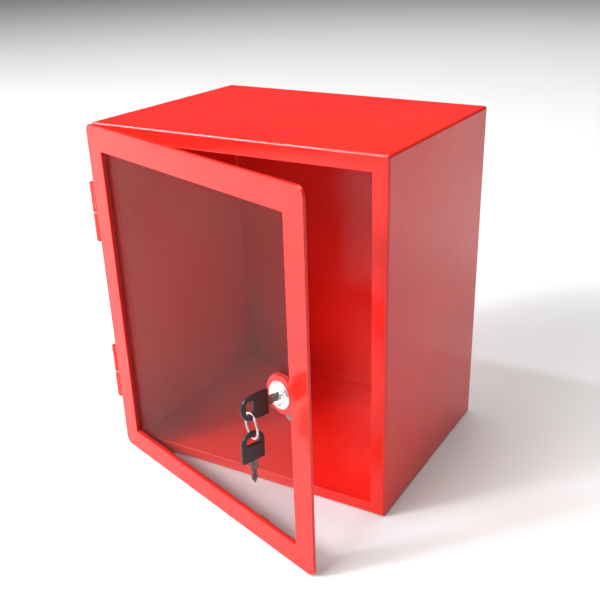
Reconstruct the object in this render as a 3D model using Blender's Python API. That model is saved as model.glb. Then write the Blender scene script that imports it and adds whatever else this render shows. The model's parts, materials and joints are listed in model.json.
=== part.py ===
"""Wall cabinet in folded red sheet steel, with a glazed door, a cam lock and two keys on a ring.

Metres, +Z up. The origin is the middle of the cabinet's bottom face, the front faces -Y and the
door is hinged on the left. The door stands open by DOOR_OPEN, with one key in the lock.
"""
import math

import bmesh
import bpy
from mathutils import Matrix, Vector

# ---- driving dimensions ----
WIDTH = 0.318
DEPTH = 0.240
HEIGHT = 0.360
SHEET = 0.0012
BEND = 0.0025            # outside radius of the folded corners
GAP = 0.0003             # left between neighbouring pieces

FLANGE = 0.015           # return flange round the front and the back opening
FLANGE_BOTTOM = 0.0125
OPENING_CORNER = 0.0012
WALL_HOLE_RADIUS = 0.0035
WALL_HOLE_X = 0.080
WALL_HOLE_Z = (0.030, 0.330)

DOOR_OPEN = math.radians(19.0)
DOOR_WIDTH = 0.320
DOOR_LOW = 0.0005
DOOR_HIGH = 0.3596
DOOR_PLATE = 0.0030
DOOR_CORNER = 0.0080
DOOR_FRONT = 0.0038      # outer face of the closed door, ahead of the cabinet's front
WINDOW_SIDE = 0.0240
WINDOW_TOP = 0.0240
WINDOW_BOTTOM = 0.0230

HINGE_OUT = 0.00625      # hinge axis, left of the cabinet's side
HINGE_RADIUS = 0.00475
HINGE_LENGTH = 0.0615
HINGE_HEIGHTS = {"top": 0.2695, "bottom": 0.0885}
PIN_RADIUS = 0.0022
BORE_RADIUS = 0.0025
HINGE_WASHER = 0.0010

PANE_THICK = 0.0030
TAPE_THICK = 0.0008
TAPE_WIDTH = 0.0047
PANE_MARGIN = 0.0179     # pane's edge, in from the door's edge
TAB_LENGTH = 0.012
TAB_SHEET = 0.0012
TAB_REACH = 0.0026

LOCK_IN = 0.0365         # lock axis, in from the door's free edge
LOCK_HEIGHT = 0.174
LOCK_PAD_RADIUS = 0.018  # half-round pad of the door plate around the lock
COLLAR_RADIUS = 0.013
BARREL_RADIUS = 0.0095
BARREL_FLAT = 0.0080     # half the width across the barrel's two flats
BARREL_END = 0.016
PLUG_RADIUS = 0.0065
PLUG_FACE = -0.0032
LOCK_HOLE_PANE = 0.0145
CAM_LENGTH = 0.029
CAM_SHEET = 0.0018
CAM_HALF_WIDTH = 0.006
CAM_CRANK = 0.0072
CAM_HUB = 0.0075
CAM_HUB_FULLER = 0.0012  # keeps the rounded ends from coming to a point
CAM_TIP_FULLER = 0.0008
TAIL_HALF = 0.0035

KEY_OUT = 0.0132         # flat end of the bow, ahead of the door's outer face
BOW_LENGTH = 0.0283
BOW_HALF = 0.0117
BOW_STRAIGHT = 0.0180
BOW_THICK = 0.0032
SLOT_START = 0.0160
SLOT_SIDE = 0.0222
SLOT_CROWN = 0.0236
SLOT_HALF = 0.0068
BLADE_LENGTH = 0.022
BLADE_HALF = 0.0040
BLADE_THICK = 0.0020
TANG_LENGTH = 0.006
TANG_HALF = 0.0035

RING_RADIUS = 0.0112     # to the middle of the wire
RING_WIRE = 0.0007       # half the wire's thickness across the ring
RING_STACK = 0.0009      # half the height of the two turns
RING_HANG = 0.0012       # middle of the wire to the edge of the slot it hangs in
RING_YAW = math.radians(12.7)
RING_ON_BOW = 0.0182     # where the ring hangs, along the bow from its flat end

HINGE_X = -WIDTH / 2 - HINGE_OUT
HINGE_Y = -DEPTH / 2
DOOR_LEFT = -DOOR_WIDTH / 2 - HINGE_X      # the door's edges, from the hinge axis
DOOR_RIGHT = DOOR_LEFT + DOOR_WIDTH
TAPE_FACE = DOOR_PLATE + GAP
PANE_FACE = TAPE_FACE + TAPE_THICK + GAP
PANE_BACK = PANE_FACE + PANE_THICK
PANE_LOW = DOOR_LOW + PANE_MARGIN
PANE_HIGH = DOOR_HIGH - PANE_MARGIN
LOCK_X = DOOR_RIGHT - LOCK_IN


# ---- materials ----
def material(name, colour, roughness, metallic=0.0, alpha=1.0):
    made = bpy.data.materials.new(name)
    made.use_nodes = True
    made.diffuse_color = (*colour, alpha)
    shader = made.node_tree.nodes["Principled BSDF"]
    shader.inputs["Base Color"].default_value = (*colour, 1.0)
    shader.inputs["Roughness"].default_value = roughness
    shader.inputs["Metallic"].default_value = metallic
    shader.inputs["Alpha"].default_value = alpha
    return made


def make_materials():
    return {
        "red": material("red_paint", (0.78, 0.03, 0.02), 0.25),
        "pane": material("clear_sheet", (0.95, 0.93, 0.93), 0.05, 0.0, 0.3),
        "tape": material("glazing_tape", (0.03, 0.03, 0.03), 0.6),
        "chrome": material("chrome", (0.85, 0.85, 0.87), 0.08, 1.0),
        "zinc": material("zinc_plate", (0.75, 0.76, 0.78), 0.3, 1.0),
        "steel": material("steel", (0.55, 0.55, 0.56), 0.35, 1.0),
        "nickel": material("nickel", (0.52, 0.46, 0.40), 0.35, 1.0),
        "black": material("black_plastic", (0.02, 0.02, 0.025), 0.35),
    }


# ---- shape tools ----
def finish(name, bm, look, parent=None, location=(0, 0, 0), smooth=False):
    """Turn a bmesh into the named object, hung on its parent."""
    bmesh.ops.recalc_face_normals(bm, faces=bm.faces)
    mesh = bpy.data.meshes.new(name)
    bm.to_mesh(mesh)
    bm.free()
    if smooth:
        mesh.shade_smooth()
        mesh.set_sharp_from_angle(angle=math.radians(35))
    obj = bpy.data.objects.new(name, mesh)
    bpy.context.scene.collection.objects.link(obj)
    obj.parent = parent
    obj.location = location
    if look:
        mesh.materials.append(look)
    return obj


def empty(name, location, parent=None, turn=0.0):
    obj = bpy.data.objects.new(name, None)
    bpy.context.scene.collection.objects.link(obj)
    obj.parent = parent
    obj.location = location
    obj.rotation_euler = (0, 0, turn)
    return obj


def block(low, high):
    bm = bmesh.new()
    bmesh.ops.create_cube(bm, size=1.0)
    for vert in bm.verts:
        vert.co = Vector(
            low[axis] + (vert.co[axis] + 0.5) * (high[axis] - low[axis]) for axis in range(3)
        )
    return bm


def rounded_block(low, high, radius, segments, along=None):
    """A block with rounded edges: all of them, or only those that run along one axis."""
    bm = block(low, high)
    edges = bm.edges[:]
    if along is not None:
        edges = [e for e in edges if abs((e.verts[0].co - e.verts[1].co).normalized()[along]) > 0.5]
    bmesh.ops.bevel(bm, geom=edges, offset=radius, segments=segments, affect="EDGES", profile=0.5)
    return bm


def extrude_y(points, start, end):
    """A closed outline of (x, z) points, carried from y = start to y = end."""
    bm = bmesh.new()
    face = bm.faces.new([bm.verts.new((x, start, z)) for x, z in points])
    grown = bmesh.ops.extrude_face_region(bm, geom=[face])
    moved = [item for item in grown["geom"] if isinstance(item, bmesh.types.BMVert)]
    bmesh.ops.translate(bm, verts=moved, vec=(0, end - start, 0))
    return bm


def circle_points(radius, count, centre=(0, 0)):
    step = 2 * math.pi / count
    return [
        (centre[0] + radius * math.cos(i * step), centre[1] + radius * math.sin(i * step))
        for i in range(count)
    ]


def turn_y(profile, segments=32):
    """A closed profile of (radius, y) points, turned round the Y axis."""
    bm = bmesh.new()
    on_axis = [bm.verts.new((0, y, 0)) if r == 0 else None for r, y in profile]
    rings = []
    for i in range(segments):
        angle = 2 * math.pi * i / segments
        across = math.cos(angle)
        up = math.sin(angle)
        rings.append(
            [
                shared or bm.verts.new((r * across, y, r * up))
                for (r, y), shared in zip(profile, on_axis)
            ]
        )
    for i, ring in enumerate(rings):
        following = rings[(i + 1) % segments]
        for j in range(len(profile)):
            k = (j + 1) % len(profile)
            corners = list(dict.fromkeys((ring[j], ring[k], following[k], following[j])))
            if len(corners) > 2:
                bm.faces.new(corners)
    return bm


def to_z(bm):
    """Stand a shape made round the Y axis up along Z."""
    bmesh.ops.rotate(bm, verts=bm.verts, cent=(0, 0, 0), matrix=Matrix.Rotation(math.pi / 2, 3, "X"))
    return bm


def cut(obj, cutter_bm, operation="DIFFERENCE"):
    """Boolean with a hidden cutter that shares the object's place."""
    cutter = finish(f"cutter_{obj.name}_{len(obj.modifiers)}", cutter_bm, None, obj.parent, obj.location)
    cutter.hide_render = True
    cutter.display_type = "WIRE"
    step = obj.modifiers.new("cut", "BOOLEAN")
    step.operation = operation
    step.object = cutter
    step.solver = "EXACT"


def soften(obj, width, segments=2, angle=40):
    step = obj.modifiers.new("edge", "BEVEL")
    step.width = width
    step.segments = segments
    step.limit_method = "ANGLE"
    step.angle_limit = math.radians(angle)
    step.use_clamp_overlap = True


# ---- cabinet ----
def opening_block(front, back):
    """The front or back opening, inside the return flanges."""
    return rounded_block(
        (-WIDTH / 2 + FLANGE, front, FLANGE_BOTTOM),
        (WIDTH / 2 - FLANGE, back, HEIGHT - FLANGE),
        OPENING_CORNER,
        2,
        along=1,
    )


def make_cabinet(looks):
    shell_back = DEPTH / 2 - SHEET - GAP
    shell = finish(
        "cabinet_shell",
        rounded_block((-WIDTH / 2, -DEPTH / 2, 0), (WIDTH / 2, shell_back, HEIGHT), BEND, 3),
        looks["red"],
        smooth=True,
    )
    inner_low = (-WIDTH / 2 + SHEET, -DEPTH / 2 + SHEET, SHEET)
    inner_high = (WIDTH / 2 - SHEET, shell_back - SHEET, HEIGHT - SHEET)
    cut(shell, rounded_block(inner_low, inner_high, BEND - SHEET, 2))
    cut(shell, opening_block(-DEPTH, DEPTH))

    margin = 0.0022
    back = finish(
        "back_panel",
        rounded_block(
            (-WIDTH / 2 + margin, DEPTH / 2 - SHEET, margin),
            (WIDTH / 2 - margin, DEPTH / 2, HEIGHT - margin),
            BEND,
            2,
            along=1,
        ),
        looks["red"],
    )
    for side in (-1, 1):
        for height in WALL_HOLE_Z:
            hole = circle_points(WALL_HOLE_RADIUS, 20, (side * WALL_HOLE_X, height))
            cut(back, extrude_y(hole, 0, DEPTH))


# ---- hinges ----
def knuckle_barrel(low, high, bore_from, bore_to):
    """Barrel with chamfered ends, and the bore that is cut into it from the other knuckle's side."""
    chamfer = 0.0006
    radius = HINGE_RADIUS
    barrel = to_z(
        turn_y(
            [
                (0, low),
                (radius - chamfer, low),
                (radius, low + chamfer),
                (radius, high - chamfer),
                (radius - chamfer, high),
                (0, high),
            ],
            28,
        )
    )
    bore = to_z(extrude_y(circle_points(BORE_RADIUS, 24), bore_from, bore_to))
    return barrel, bore


def make_hinge(label, centre, door_is_upper, door, looks):
    """Two knuckles, one on the cabinet and one on the door, with a pin and a washer."""
    half = HINGE_LENGTH / 2
    end_wall = 0.002
    split = HINGE_WASHER / 2 + GAP
    cabinet_place = (HINGE_X, HINGE_Y, centre)
    up = 1 if door_is_upper else -1

    def knuckle(name, sign, parent, place, web):
        low, high = sorted((sign * split, sign * half))
        bore_from = sign * (split - 0.001)
        bore_to = sign * (half - end_wall)
        barrel, bore = knuckle_barrel(low, high, bore_from, bore_to)
        made = finish(name, barrel, looks["red"], parent, place, smooth=True)
        web_low, web_high = web
        inset = 0.0015
        cut(
            made,
            block((web_low[0], web_low[1], low + inset), (web_high[0], web_high[1], high - inset)),
            "UNION",
        )
        cut(made, bore)

    door_web = ((0.0033, -0.0034), (DOOR_LEFT - GAP, -0.0012))
    cabinet_web = ((0.0030, 0.0012), (HINGE_OUT - GAP, 0.0034))
    knuckle(f"hinge_{label}_door_knuckle", up, door, (0, 0, centre), door_web)
    knuckle(f"hinge_{label}_cabinet_knuckle", -up, None, cabinet_place, cabinet_web)

    reach = half - end_wall - 0.001
    finish(
        f"hinge_{label}_pin",
        to_z(extrude_y(circle_points(PIN_RADIUS, 20), -reach, reach)),
        looks["steel"],
        None,
        cabinet_place,
        smooth=True,
    )
    inner = PIN_RADIUS + GAP
    outer = HINGE_RADIUS - 0.0003
    thick = HINGE_WASHER / 2
    finish(
        f"hinge_{label}_washer",
        to_z(turn_y([(inner, -thick), (outer, -thick), (outer, thick), (inner, thick)], 24)),
        looks["steel"],
        None,
        cabinet_place,
        smooth=True,
    )


# ---- door ----
def window_outline():
    """Window opening, with the half-round lock pad standing into its right side."""
    left = DOOR_LEFT + WINDOW_SIDE
    right = DOOR_RIGHT - WINDOW_SIDE
    low = DOOR_LOW + WINDOW_BOTTOM
    high = DOOR_HIGH - WINDOW_TOP
    reach = right - LOCK_X
    half_angle = math.acos(reach / LOCK_PAD_RADIUS)
    steps = 20
    sweep = 2 * math.pi - 2 * half_angle
    pad = []
    for i in range(steps + 1):
        angle = half_angle + sweep * i / steps
        x = LOCK_X + LOCK_PAD_RADIUS * math.cos(angle)
        pad.append((x, LOCK_HEIGHT + LOCK_PAD_RADIUS * math.sin(angle)))
    return [(left, low), (left, high), (right, high)] + pad + [(right, low)]


def make_door_frame(door, looks):
    front = -DOOR_FRONT
    frame = finish(
        "door_frame",
        rounded_block(
            (DOOR_LEFT, front, DOOR_LOW),
            (DOOR_RIGHT, front + DOOR_PLATE, DOOR_HIGH),
            DOOR_CORNER,
            6,
            along=1,
        ),
        looks["red"],
        door,
    )
    cut(frame, extrude_y(window_outline(), front - 0.01, front + 0.01))
    clear = BARREL_RADIUS + GAP
    hole = [
        (LOCK_X + max(-BARREL_FLAT - GAP, min(BARREL_FLAT + GAP, x)), LOCK_HEIGHT + z)
        for x, z in circle_points(clear, 32)
    ]
    cut(frame, extrude_y(hole, front - 0.01, front + 0.01))
    soften(frame, 0.0004, 2, 60)


def make_glazing(door, looks):
    left = DOOR_LEFT + PANE_MARGIN
    right = DOOR_RIGHT - PANE_MARGIN
    front = -DOOR_FRONT
    pane = finish(
        "window_pane",
        block((left, front + PANE_FACE, PANE_LOW), (right, front + PANE_BACK, PANE_HIGH)),
        looks["pane"],
        door,
    )
    hole = circle_points(LOCK_HOLE_PANE, 32, (LOCK_X, LOCK_HEIGHT))
    cut(pane, extrude_y(hole, front, front + 0.02))

    tape_low = front + TAPE_FACE
    tape_high = tape_low + TAPE_THICK
    inner_low = PANE_LOW + TAPE_WIDTH + GAP
    inner_high = PANE_HIGH - TAPE_WIDTH - GAP
    strips = {
        "top": (left, PANE_HIGH - TAPE_WIDTH, right, PANE_HIGH),
        "bottom": (left, PANE_LOW, right, PANE_LOW + TAPE_WIDTH),
        "left": (left, inner_low, left + TAPE_WIDTH, inner_high),
        "right": (right - TAPE_WIDTH, inner_low, right, inner_high),
    }
    for side, (x0, z0, x1, z1) in strips.items():
        finish(
            f"glazing_tape_{side}",
            block((x0, tape_low, z0), (x1, tape_high, z1)),
            looks["tape"],
            door,
        )


def make_pane_tab(name, centre, quarter_turns, door, looks):
    """L-shaped tab behind the door plate that laps over the pane's edge."""
    start = -TAB_LENGTH / 2
    back = PANE_BACK + GAP
    profile = [
        (0, TAPE_FACE),
        (0, back + TAB_SHEET),
        (TAB_REACH, back + TAB_SHEET),
        (TAB_REACH, back),
        (TAB_SHEET, back),
        (TAB_SHEET, TAPE_FACE),
    ]
    bm = bmesh.new()
    face = bm.faces.new([bm.verts.new((x, y, start)) for x, y in profile])
    grown = bmesh.ops.extrude_face_region(bm, geom=[face])
    moved = [item for item in grown["geom"] if isinstance(item, bmesh.types.BMVert)]
    bmesh.ops.translate(bm, verts=moved, vec=(0, 0, TAB_LENGTH))
    turn = Matrix.Rotation(quarter_turns * math.pi / 2, 3, "Y")
    bmesh.ops.rotate(bm, verts=bm.verts, cent=(0, 0, 0), matrix=turn)
    finish(name, bm, looks["red"], door, (centre[0], -DOOR_FRONT, centre[1]))


def make_pane_tabs(door, looks):
    edge = PANE_MARGIN - TAB_SHEET - GAP
    middle = DOOR_LEFT + DOOR_WIDTH / 2
    centre_z = (DOOR_LOW + DOOR_HIGH) / 2
    spread_x = 0.080
    spread_z = 0.110
    number = 1
    for side in (-1, 1):
        x = DOOR_LEFT + edge if side < 0 else DOOR_RIGHT - edge
        for shift in (-spread_z, spread_z):
            make_pane_tab(f"pane_tab_{number}", (x, centre_z + shift), 0 if side < 0 else 2, door, looks)
            number += 1
    for side in (-1, 1):
        z = DOOR_LOW + edge if side < 0 else DOOR_HIGH - edge
        for shift in (-spread_x, spread_x):
            make_pane_tab(f"pane_tab_{number}", (middle + shift, z), 3 if side < 0 else 1, door, looks)
            number += 1


# ---- lock, modelled round its own axis: -Y points out of the door ----
def make_lock_housing(lock, looks):
    bore = PLUG_RADIUS + GAP
    housing = finish(
        "lock_housing",
        turn_y(
            [
                (bore, -0.0028),
                (0.0078, -0.0036),
                (0.0098, -0.0032),
                (0.0118, -0.0023),
                (0.0128, -0.0013),
                (COLLAR_RADIUS, -GAP),
                (BARREL_RADIUS, -GAP),
                (BARREL_RADIUS, BARREL_END),
                (bore, BARREL_END),
            ],
            40,
        ),
        looks["chrome"],
        lock,
        smooth=True,
    )
    for side in (-1, 1):
        near = side * BARREL_FLAT
        far = side * 2 * BARREL_RADIUS
        cut(
            housing,
            block((min(near, far), 0.0, -0.02), (max(near, far), BARREL_END + 0.01, 0.02)),
        )


def make_lock_nut(lock, looks):
    washer_back = DOOR_PLATE + GAP + 0.0008
    nut_front = washer_back + GAP
    nut_thick = 0.004
    corner = 0.0127
    inner = BARREL_RADIUS + GAP
    finish(
        "lock_washer",
        turn_y(
            [
                (inner, DOOR_PLATE + GAP),
                (0.0122, DOOR_PLATE + GAP),
                (0.0122, washer_back),
                (inner, washer_back),
            ],
            32,
        ),
        looks["zinc"],
        lock,
        smooth=True,
    )
    nut = finish(
        "lock_nut",
        extrude_y(circle_points(corner, 6), nut_front, nut_front + nut_thick),
        looks["zinc"],
        lock,
    )
    cut(nut, extrude_y(circle_points(inner, 32), 0, 0.02))


def make_plug(plug, looks):
    tail_end = BARREL_END + 0.0022
    body = finish(
        "lock_plug",
        turn_y(
            [
                (0, PLUG_FACE),
                (PLUG_RADIUS - 0.0005, PLUG_FACE),
                (PLUG_RADIUS, PLUG_FACE + 0.0005),
                (PLUG_RADIUS, BARREL_END + GAP),
                (0, BARREL_END + GAP),
            ],
            32,
        ),
        looks["chrome"],
        plug,
        smooth=True,
    )
    cut(body, block((-TAIL_HALF, 0.012, -TAIL_HALF), (TAIL_HALF, tail_end, TAIL_HALF)), "UNION")
    slot_x = BLADE_THICK / 2 + GAP
    slot_z = BLADE_HALF + GAP
    slot_end = BLADE_LENGTH - KEY_OUT + 0.001
    cut(body, block((-slot_x, -0.01, -slot_z), (slot_x, slot_end, slot_z)))
    cut(body, extrude_y(circle_points(0.0025, 20), slot_end + 0.0015, 0.03))


def cam_stations():
    """(distance down from the axis, half width, y) along the cranked cam."""
    near = BARREL_END + 2 * GAP
    tip = near - CAM_CRANK
    stations = []
    steps = 5
    for i in range(steps):
        angle = math.pi / 2 * (1 - i / steps)
        half = CAM_HUB * math.cos(angle) + CAM_HUB_FULLER
        stations.append((-CAM_HUB * math.sin(angle), half, near))
    stations += [(0.0, CAM_HUB, near), (0.009, CAM_HALF_WIDTH, near), (0.0125, CAM_HALF_WIDTH, near)]
    stations += [(0.0165, CAM_HALF_WIDTH, tip)]
    shoulder = CAM_LENGTH - CAM_HALF_WIDTH
    for i in range(steps + 1):
        angle = math.pi / 2 * i / steps
        half = CAM_HALF_WIDTH * math.cos(angle) + CAM_TIP_FULLER * i / steps
        stations.append((shoulder + CAM_HALF_WIDTH * math.sin(angle), half, tip))
    return stations


def make_cam(plug, looks):
    bm = bmesh.new()
    rows = []
    for down, half, y in cam_stations():
        corners = ((-half, y), (half, y), (half, y + CAM_SHEET), (-half, y + CAM_SHEET))
        rows.append([bm.verts.new((x, depth, -down)) for x, depth in corners])
    for row, following in zip(rows, rows[1:]):
        for j in range(4):
            k = (j + 1) % 4
            bm.faces.new((row[j], row[k], following[k], following[j]))
    bm.faces.new(rows[0])
    bm.faces.new(rows[-1])
    cam = finish("lock_cam", bm, looks["zinc"], plug)
    fit = TAIL_HALF + GAP
    cut(cam, block((-fit, 0.0, -fit), (fit, 0.03, fit)))

    washer_front = BARREL_END + 2 * GAP + CAM_SHEET + GAP
    washer_back = washer_front + 0.001
    hole = 0.0026
    finish(
        "cam_washer",
        turn_y(
            [(hole, washer_front), (0.0062, washer_front), (0.0062, washer_back), (hole, washer_back)],
            28,
        ),
        looks["zinc"],
        plug,
        smooth=True,
    )
    head_front = washer_back + GAP
    screw = finish(
        "cam_screw",
        extrude_y(circle_points(0.0021, 16), 0.0125, head_front + 0.001),
        looks["zinc"],
        plug,
        smooth=True,
    )
    head = turn_y(
        [
            (0, head_front),
            (0.0045, head_front),
            (0.0045, head_front + 0.0018),
            (0.0034, head_front + 0.0028),
            (0, head_front + 0.0030),
        ],
        24,
    )
    cut(screw, head, "UNION")
    recess = head_front + 0.0016
    for across, along in ((0.0005, 0.0022), (0.0022, 0.0005)):
        cut(screw, block((-across, recess, -along), (across, recess + 0.01, along)))


# ---- keys, modelled with the blade along +Y from the bow's flat end at y = 0 ----
def bow_outline():
    """(y, z) outline of the bow: a flat end, straight sides and an elliptical end."""
    corner = 0.0008
    points = [(-corner, -BOW_HALF), (0, -BOW_HALF + corner), (0, BOW_HALF - corner), (-corner, BOW_HALF)]
    steps = 18
    for i in range(steps + 1):
        angle = math.pi / 2 - math.pi * i / steps
        along = BOW_STRAIGHT + (BOW_LENGTH - BOW_STRAIGHT) * math.cos(angle)
        points.append((-along, BOW_HALF * math.sin(angle)))
    return points


def slot_outline():
    """(y, z) outline of the ring slot: straight inside, gently crowned outside."""
    corner = 0.001
    points = [(-SLOT_START, -SLOT_HALF + corner), (-SLOT_START, SLOT_HALF - corner)]
    points += [(-SLOT_START - corner, SLOT_HALF), (-SLOT_SIDE + corner, SLOT_HALF)]
    steps = 8
    half = SLOT_HALF - corner
    for i in range(steps + 1):
        z = half - 2 * half * i / steps
        crown = (SLOT_CROWN - SLOT_SIDE) * (1 - (z / half) ** 2)
        points.append((-SLOT_SIDE - crown, z))
    points += [(-SLOT_SIDE + corner, -SLOT_HALF), (-SLOT_START - corner, -SLOT_HALF)]
    return points


def extrude_x(points, half):
    """A closed outline of (y, z) points, carried from x = -half to x = half."""
    bm = bmesh.new()
    face = bm.faces.new([bm.verts.new((-half, y, z)) for y, z in points])
    grown = bmesh.ops.extrude_face_region(bm, geom=[face])
    moved = [item for item in grown["geom"] if isinstance(item, bmesh.types.BMVert)]
    bmesh.ops.translate(bm, verts=moved, vec=(2 * half, 0, 0))
    return bm


def blade_outline():
    """(y, z) outline of the double-sided blade, with its tang and its cuts."""
    side = [
        (-TANG_LENGTH, TANG_HALF),
        (-GAP, TANG_HALF),
        (GAP, BLADE_HALF),
        (0.0080, BLADE_HALF),
        (0.0098, 0.0027),
        (0.0116, 0.0018),
        (0.0132, 0.0018),
        (0.0150, 0.0028),
        (0.0178, 0.0028),
        (BLADE_LENGTH, 0.0006),
    ]
    return side + [(y, -z) for y, z in reversed(side)]


def make_key(prefix, parent, looks):
    bow = finish(f"{prefix}_bow", extrude_x(bow_outline(), BOW_THICK / 2), looks["black"], parent)
    cut(bow, extrude_x(slot_outline(), BOW_THICK))
    soften(bow, 0.0005, 2, 50)
    pocket_x = BLADE_THICK / 2 + GAP
    pocket_z = TANG_HALF + GAP
    cut(bow, block((-pocket_x, -TANG_LENGTH - GAP, -pocket_z), (pocket_x, 0.01, pocket_z)))
    finish(f"{prefix}_blade", extrude_x(blade_outline(), BLADE_THICK / 2), looks["nickel"], parent)


def make_ring(parent, looks):
    """Split ring in the parent's XZ plane, its top at the parent's origin."""
    bm = bmesh.new()
    turns = 40
    sides = 8
    rings = []
    for i in range(turns):
        angle = 2 * math.pi * i / turns
        row = []
        for j in range(sides):
            around = 2 * math.pi * j / sides
            reach = RING_RADIUS + RING_WIRE * math.cos(around)
            row.append(
                bm.verts.new(
                    (
                        reach * math.sin(angle),
                        RING_STACK * math.sin(around),
                        reach * math.cos(angle) - RING_RADIUS,
                    )
                )
            )
        rings.append(row)
    for i, row in enumerate(rings):
        following = rings[(i + 1) % turns]
        for j in range(sides):
            k = (j + 1) % sides
            bm.faces.new((row[j], row[k], following[k], following[j]))
    finish("key_ring", bm, looks["chrome"], parent, smooth=True)


# ---- the whole object ----
def build():
    looks = make_materials()
    make_cabinet(looks)
    door = empty("door_axis", (HINGE_X, HINGE_Y, 0), turn=-DOOR_OPEN)
    make_hinge("top", HINGE_HEIGHTS["top"], True, door, looks)
    make_hinge("bottom", HINGE_HEIGHTS["bottom"], False, door, looks)
    make_door_frame(door, looks)
    make_glazing(door, looks)
    make_pane_tabs(door, looks)

    lock = empty("lock_axis", (LOCK_X, -DOOR_FRONT, LOCK_HEIGHT), door)
    make_lock_housing(lock, looks)
    make_lock_nut(lock, looks)
    plug = empty("plug_axis", (0, 0, 0), lock)
    make_plug(plug, looks)
    make_cam(plug, looks)

    key = empty("key_axis", (0, -KEY_OUT, 0), plug)
    make_key("key", key, looks)
    ring = empty("ring_axis", (0, -RING_ON_BOW, RING_HANG - SLOT_HALF), key, turn=-RING_YAW)
    make_ring(ring, looks)

    # the spare key hangs from the bottom of the ring with its blade straight down
    spare = empty("spare_axis", (0, 0, RING_HANG - 2 * RING_RADIUS - SLOT_CROWN), ring)
    spare.rotation_euler = (-math.pi / 2, 0, RING_YAW)
    make_key("spare_key", spare, looks)


for old in list(bpy.data.objects):
    bpy.data.objects.remove(old, do_unlink=True)
build()
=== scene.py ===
"""Looks of the red steel wall cabinet: its materials, its small details, the light and the camera.

Metres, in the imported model's frame: +Z up, the front faces -Y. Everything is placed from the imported
model's own boxes and joints.
"""
import json
import math

import bmesh
import bpy
from mathutils import Matrix, Vector, noise


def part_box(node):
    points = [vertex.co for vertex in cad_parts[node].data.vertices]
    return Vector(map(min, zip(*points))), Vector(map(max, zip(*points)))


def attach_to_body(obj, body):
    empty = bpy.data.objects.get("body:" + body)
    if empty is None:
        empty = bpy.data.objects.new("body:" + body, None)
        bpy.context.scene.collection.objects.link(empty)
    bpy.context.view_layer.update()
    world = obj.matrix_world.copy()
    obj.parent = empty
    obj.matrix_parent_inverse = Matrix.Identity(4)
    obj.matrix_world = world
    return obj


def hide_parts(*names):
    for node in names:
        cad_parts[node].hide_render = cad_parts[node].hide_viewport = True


# ---- camera ----
CAMERA_PLACE = (0.4526, -0.75435, 0.52931)
CAMERA_AZIMUTH = math.radians(28.111)
CAMERA_ELEVATION = math.radians(25.643)
CAMERA_ROLL = math.radians(-0.6085)
CAMERA_LENS = 52.015
CAMERA_SHIFT = (-0.0700, 0.0681)

# ---- sizes of the details ----
TACK_RADIUS = 0.00120
TACK_LENGTH = 0.0050
TACK_SPREAD = (0.20, 0.50, 0.80)   # places along a knuckle, as shares of its length
TACK_LUMPS = 2
CABINET_TACKS = 0.0088             # from a cabinet knuckle's front to the tacks behind its web
TAB_COUNT = 8
TAB_WELD_RADIUS = 0.0005
TAB_WELD_REACH = 0.004             # half the length of a tab's bead
TAB_WELD_LUMPS = 3
SEAL_RADIUS = 0.00085
SEAL_DEPTH = 0.00068               # half the depth that the gap between plate and pane leaves
SEAL_STEP = 0.0016
SEAL_COLUMNS = 8
PAD_POINTS = 25
THREAD_PITCH = 0.0010
THREAD_DEPTH = 0.00035
THREAD_FADE = 0.0008               # the thread runs out over this length at the barrel's end
THREAD_SAMPLES = 8                 # rings of points for each turn of the thread
PLUG_BORE = 0.0068                 # radius of the hole that the plug turns in
COLLAR_BACK = 0.0003               # gap between the collar and the door plate
DOME_STEPS = 10
BARREL_LENGTH = 0.016
BARREL_RADIUS = 0.0095
BARREL_FLAT = 0.0080
ROUND_COLUMNS = 96
NUT_CORNER = 0.0127
NUT_RINGS = 17
NUT_CHAMFER_SLOPE = 1.9
NUT_CHAMFER_START = 0.0001
NUT_CLEARANCE = 0.00005
NUT_THREAD_DEPTH = 0.0003
WINDOW_SIDE = 0.0240
WINDOW_TOP = 0.0240
WINDOW_BOTTOM = 0.0230
LOCK_PAD_RADIUS = 0.018
RING_WIRE = 0.0007
RING_LEVEL = 0.00040               # middle of each turn, off the ring's middle plane
RING_FILL = 0.93                   # half the height of a turn, as a share of its level
RING_END_SHARE = 0.82              # the cut ends are filed down to this
RING_START = math.radians(118)
RING_TURNS = 4 * math.pi - math.radians(62)
RING_STEP_START = math.radians(300)
RING_STEP_LENGTH = math.radians(48)
RING_ROWS = 150
RING_COLUMNS = 10
BOW_LENGTH = 0.0283
BOW_HALF = 0.0117
BOW_STRAIGHT = 0.0180
BOW_THICK = 0.0032
BOW_EDGE = 0.0011
BOW_SUNK = 0.00014
BOW_SUNK_FROM = 0.0007             # the face starts to sink this far from its edges
BOW_SUNK_TO = 0.0012
BOW_SLOT_MIDDLE = 0.0196
BOW_COLUMNS = 144
BOW_RIM_STEPS = 8
BOW_FACE_STEPS = 12
SLOT_EDGE = 0.0006
SLOT_RIM_STEPS = 6
SLOT_START = 0.0160
SLOT_CROWN = 0.0236
SLOT_HALF = 0.0068
SLOT_FRONT_POWER = 6.0             # higher is squarer
SLOT_BACK_POWER = 3.4
BLADE_THICK = 0.0020
BLADE_GROOVE = 0.00045
BLADE_GROOVE_PLACE = 0.0009
BLADE_CUTS = (0.001, 0.019)        # where the small cuts start and end
BLADE_CUT_PITCH = 0.0026
BLADE_CUT_DEPTH = 0.00022
BLADE_CORNER = 0.00025
BLADE_ROWS = 90
BLADE_COLUMNS = 17

# ---- stage ----
FLOOR_HALF = 20.0
FLOOR_DROP = 0.0004                # below the cabinet's bottom
LIGHT_TARGET = (0.0, 0.0, 0.18)
WARM = (1.0, 0.985, 0.97)
COLD = (0.90, 0.92, 1.0)
WORLD_STRENGTH = 0.08


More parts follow.
